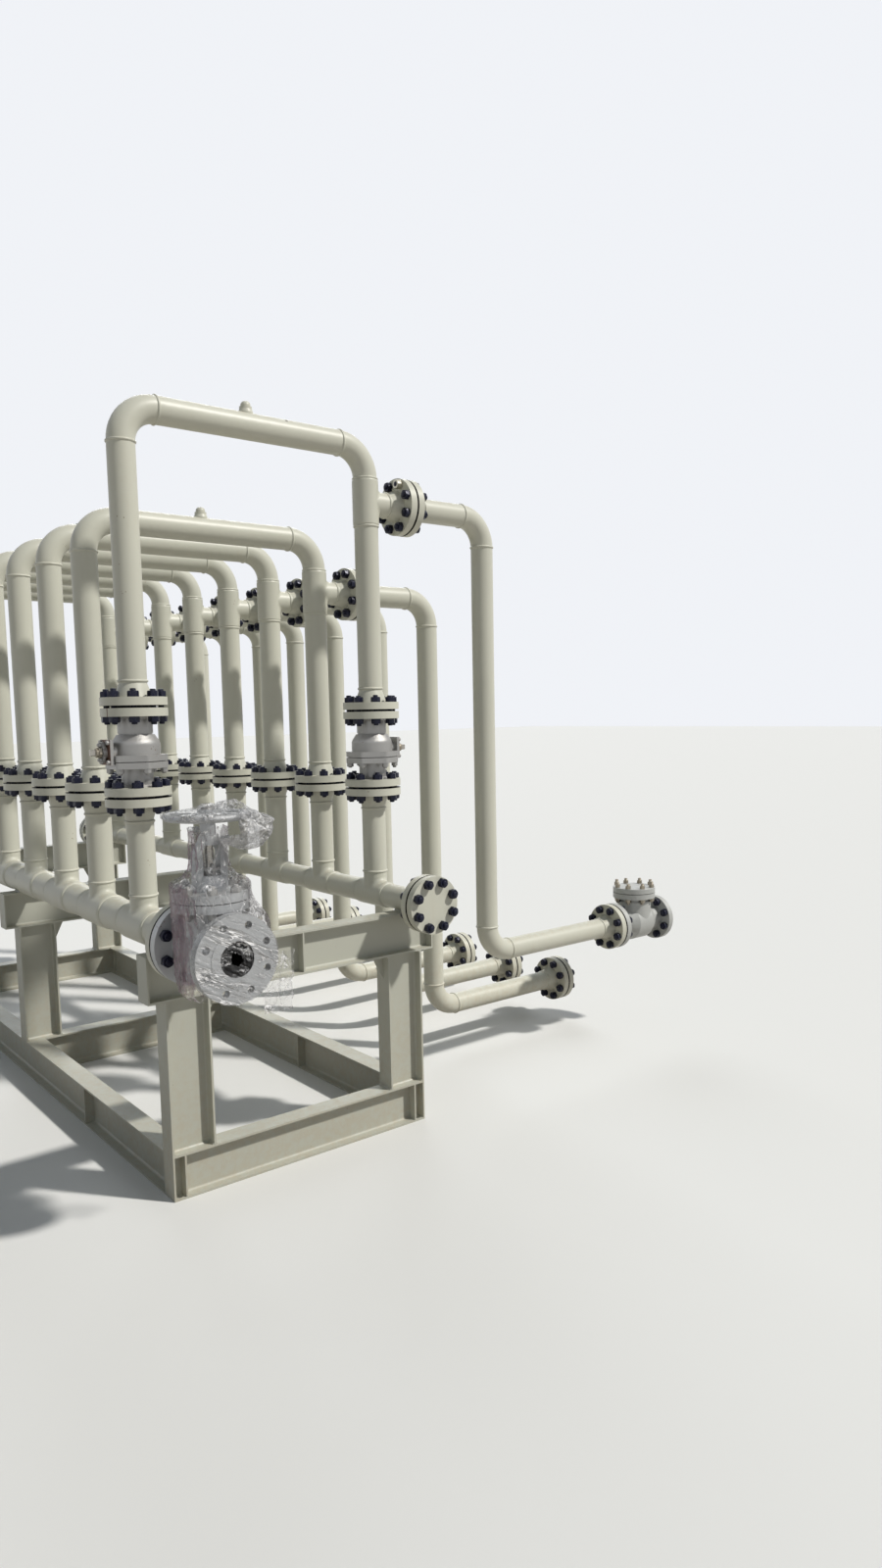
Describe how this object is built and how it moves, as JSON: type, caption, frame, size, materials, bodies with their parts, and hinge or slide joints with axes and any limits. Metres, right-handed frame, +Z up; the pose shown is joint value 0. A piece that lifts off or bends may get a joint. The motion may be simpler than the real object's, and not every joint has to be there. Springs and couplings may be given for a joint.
{
  "type": "production manifold",
  "caption": "Pipe manifold on a beam skid: eight looped flow lines join two parallel headers, with drop legs, ball, gate and check valves.",
  "frame": {"origin": "middle of the skid's underside, on the bottom flange of its middle cross beam", "axes": "+X across from the left header towards the inlets, +Y along the headers away from the gate valve, +Z up"},
  "size_m": [2.7355, 3.649, 2.5848],
  "materials": {
    "pipe_paint": "cream grey enamel, satin",
    "skid_paint": "grey cream enamel, satin",
    "valve_silver": "aluminium paint",
    "valve_grey": "grey primer",
    "stem_steel": "turned steel",
    "gasket": "graphite filler in a steel winding"
  },
  "bodies": {
    "manifold": {"base_beam_left": "skid_paint", "base_beam_right": "skid_paint", "base_cross_front": "skid_paint", "base_cross_middle": "skid_paint", "base_cross_rear": "skid_paint", "posts_front": "skid_paint", "posts_middle": "skid_paint", "posts_rear": "skid_paint", "top_beam_front": "skid_paint", "top_beam_middle": "skid_paint", "top_beam_rear": "skid_paint", "gusset_plates": "skid_paint", "header_left": "pipe_paint", "header_right": "pipe_paint", "header_blinds": "pipe_paint", "risers_left": "pipe_paint", "risers_right": "pipe_paint", "inlet_blinds": "pipe_paint", "loop_1": "pipe_paint", "loop_2": "pipe_paint", "loop_3": "pipe_paint", "loop_4": "pipe_paint", "loop_5": "pipe_paint", "loop_6": "pipe_paint", "loop_7": "pipe_paint", "loop_8": "pipe_paint", "drop_leg_1": "pipe_paint", "drop_leg_2": "pipe_paint", "drop_leg_3": "pipe_paint", "drop_leg_4": "pipe_paint", "drop_leg_5": "pipe_paint", "drop_leg_6": "pipe_paint", "drop_leg_7": "pipe_paint", "drop_leg_8": "pipe_paint", "riser_gaskets": "gasket", "branch_gaskets": "gasket", "header_gaskets": "gasket", "ball_valve_left_body": "valve_silver", "ball_valve_left_tail": "valve_silver", "ball_valve_right_body": "valve_silver", "ball_valve_right_tail": "valve_silver", "gate_valve_body": "valve_silver", "gate_valve_bonnet": "valve_silver", "check_valve_body": "valve_grey", "check_valve_cover": "valve_grey"},
    "gate_handwheel": {"gate_valve_handwheel": "valve_silver"},
    "gate_stem": {"gate_valve_stem": "stem_steel"},
    "left_ball_stem": {"ball_valve_left_stem": "stem_steel"},
    "right_ball_stem": {"ball_valve_right_stem": "stem_steel"}
  },
  "joints": [
    {"name": "handwheel_turn", "type": "hinge", "parent": "manifold", "child": "gate_handwheel", "pos_m": [-0.46, -1.8086, 1.24915], "axis": [0, 0, 1], "range_deg": [0, 4680]},
    {"name": "stem_rise", "type": "slide", "parent": "manifold", "child": "gate_stem", "axis": [0, 0, 1], "range_m": [0, 0.104]},
    {"name": "left_stem_turn", "type": "hinge", "parent": "manifold", "child": "left_ball_stem", "pos_m": [-0.56, -1.3125, 1.42385], "axis": [-1, 0, 0], "range_deg": [0, 90]},
    {"name": "right_stem_turn", "type": "hinge", "parent": "manifold", "child": "right_ball_stem", "pos_m": [0.56, -1.3125, 1.39845], "axis": [1, 0, 0], "range_deg": [0, 90]}
  ],
  "couplings": [
    {"joint": "stem_rise", "follows": "handwheel_turn", "m_per_rad": 0.0012732}
  ]
}
